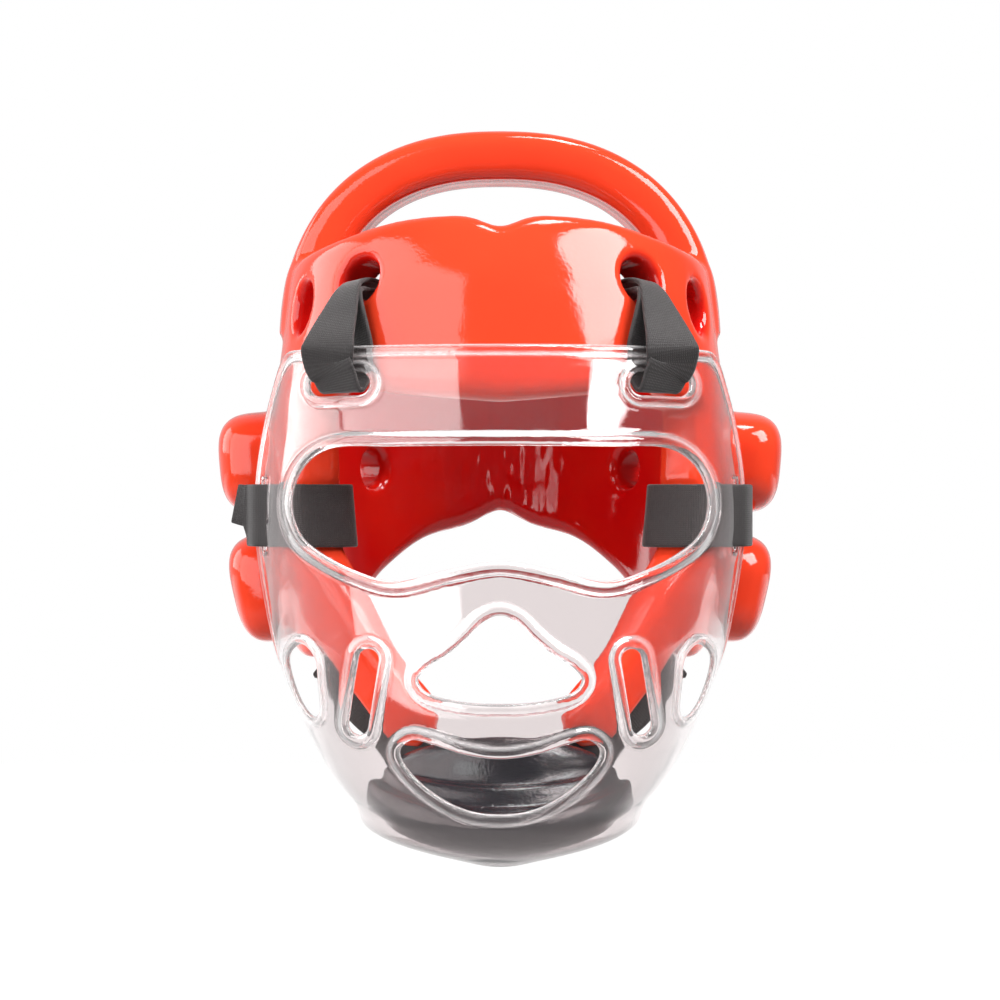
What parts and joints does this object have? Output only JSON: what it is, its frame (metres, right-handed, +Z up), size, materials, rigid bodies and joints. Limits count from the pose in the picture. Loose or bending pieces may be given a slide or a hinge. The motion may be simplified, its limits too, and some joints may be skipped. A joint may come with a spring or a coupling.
{
  "type": "sparring headgear with face shield",
  "caption": "Open-crown sparring headgear of glossy dipped foam with ear pads and cheek arms, a clear face shield hung on webbing straps, and a padded chin cup on a chin strap.",
  "frame": {"origin": "crown seat: the middle of the underside of the crown arch, where it rests on top of the head", "axes": "+Z up, -Y towards the front (the face), +X to the viewer's right seen from the front"},
  "size_m": [0.2356, 0.2675, 0.2953],
  "materials": {
    "dipped_foam": "glossy vinyl dip over foam",
    "clear_sheet": "clear, polished",
    "cup_foam": "glossy dip over foam",
    "webbing": "woven"
  },
  "bodies": {
    "root": {"headgear_shell": "dipped_foam", "face_shield": "clear_sheet", "chin_cup": "cup_foam", "chin_strap": "webbing", "top_strap_left": "webbing", "top_strap_right": "webbing", "side_strap_left": "webbing", "side_strap_right": "webbing"}
  },
  "joints": []
}
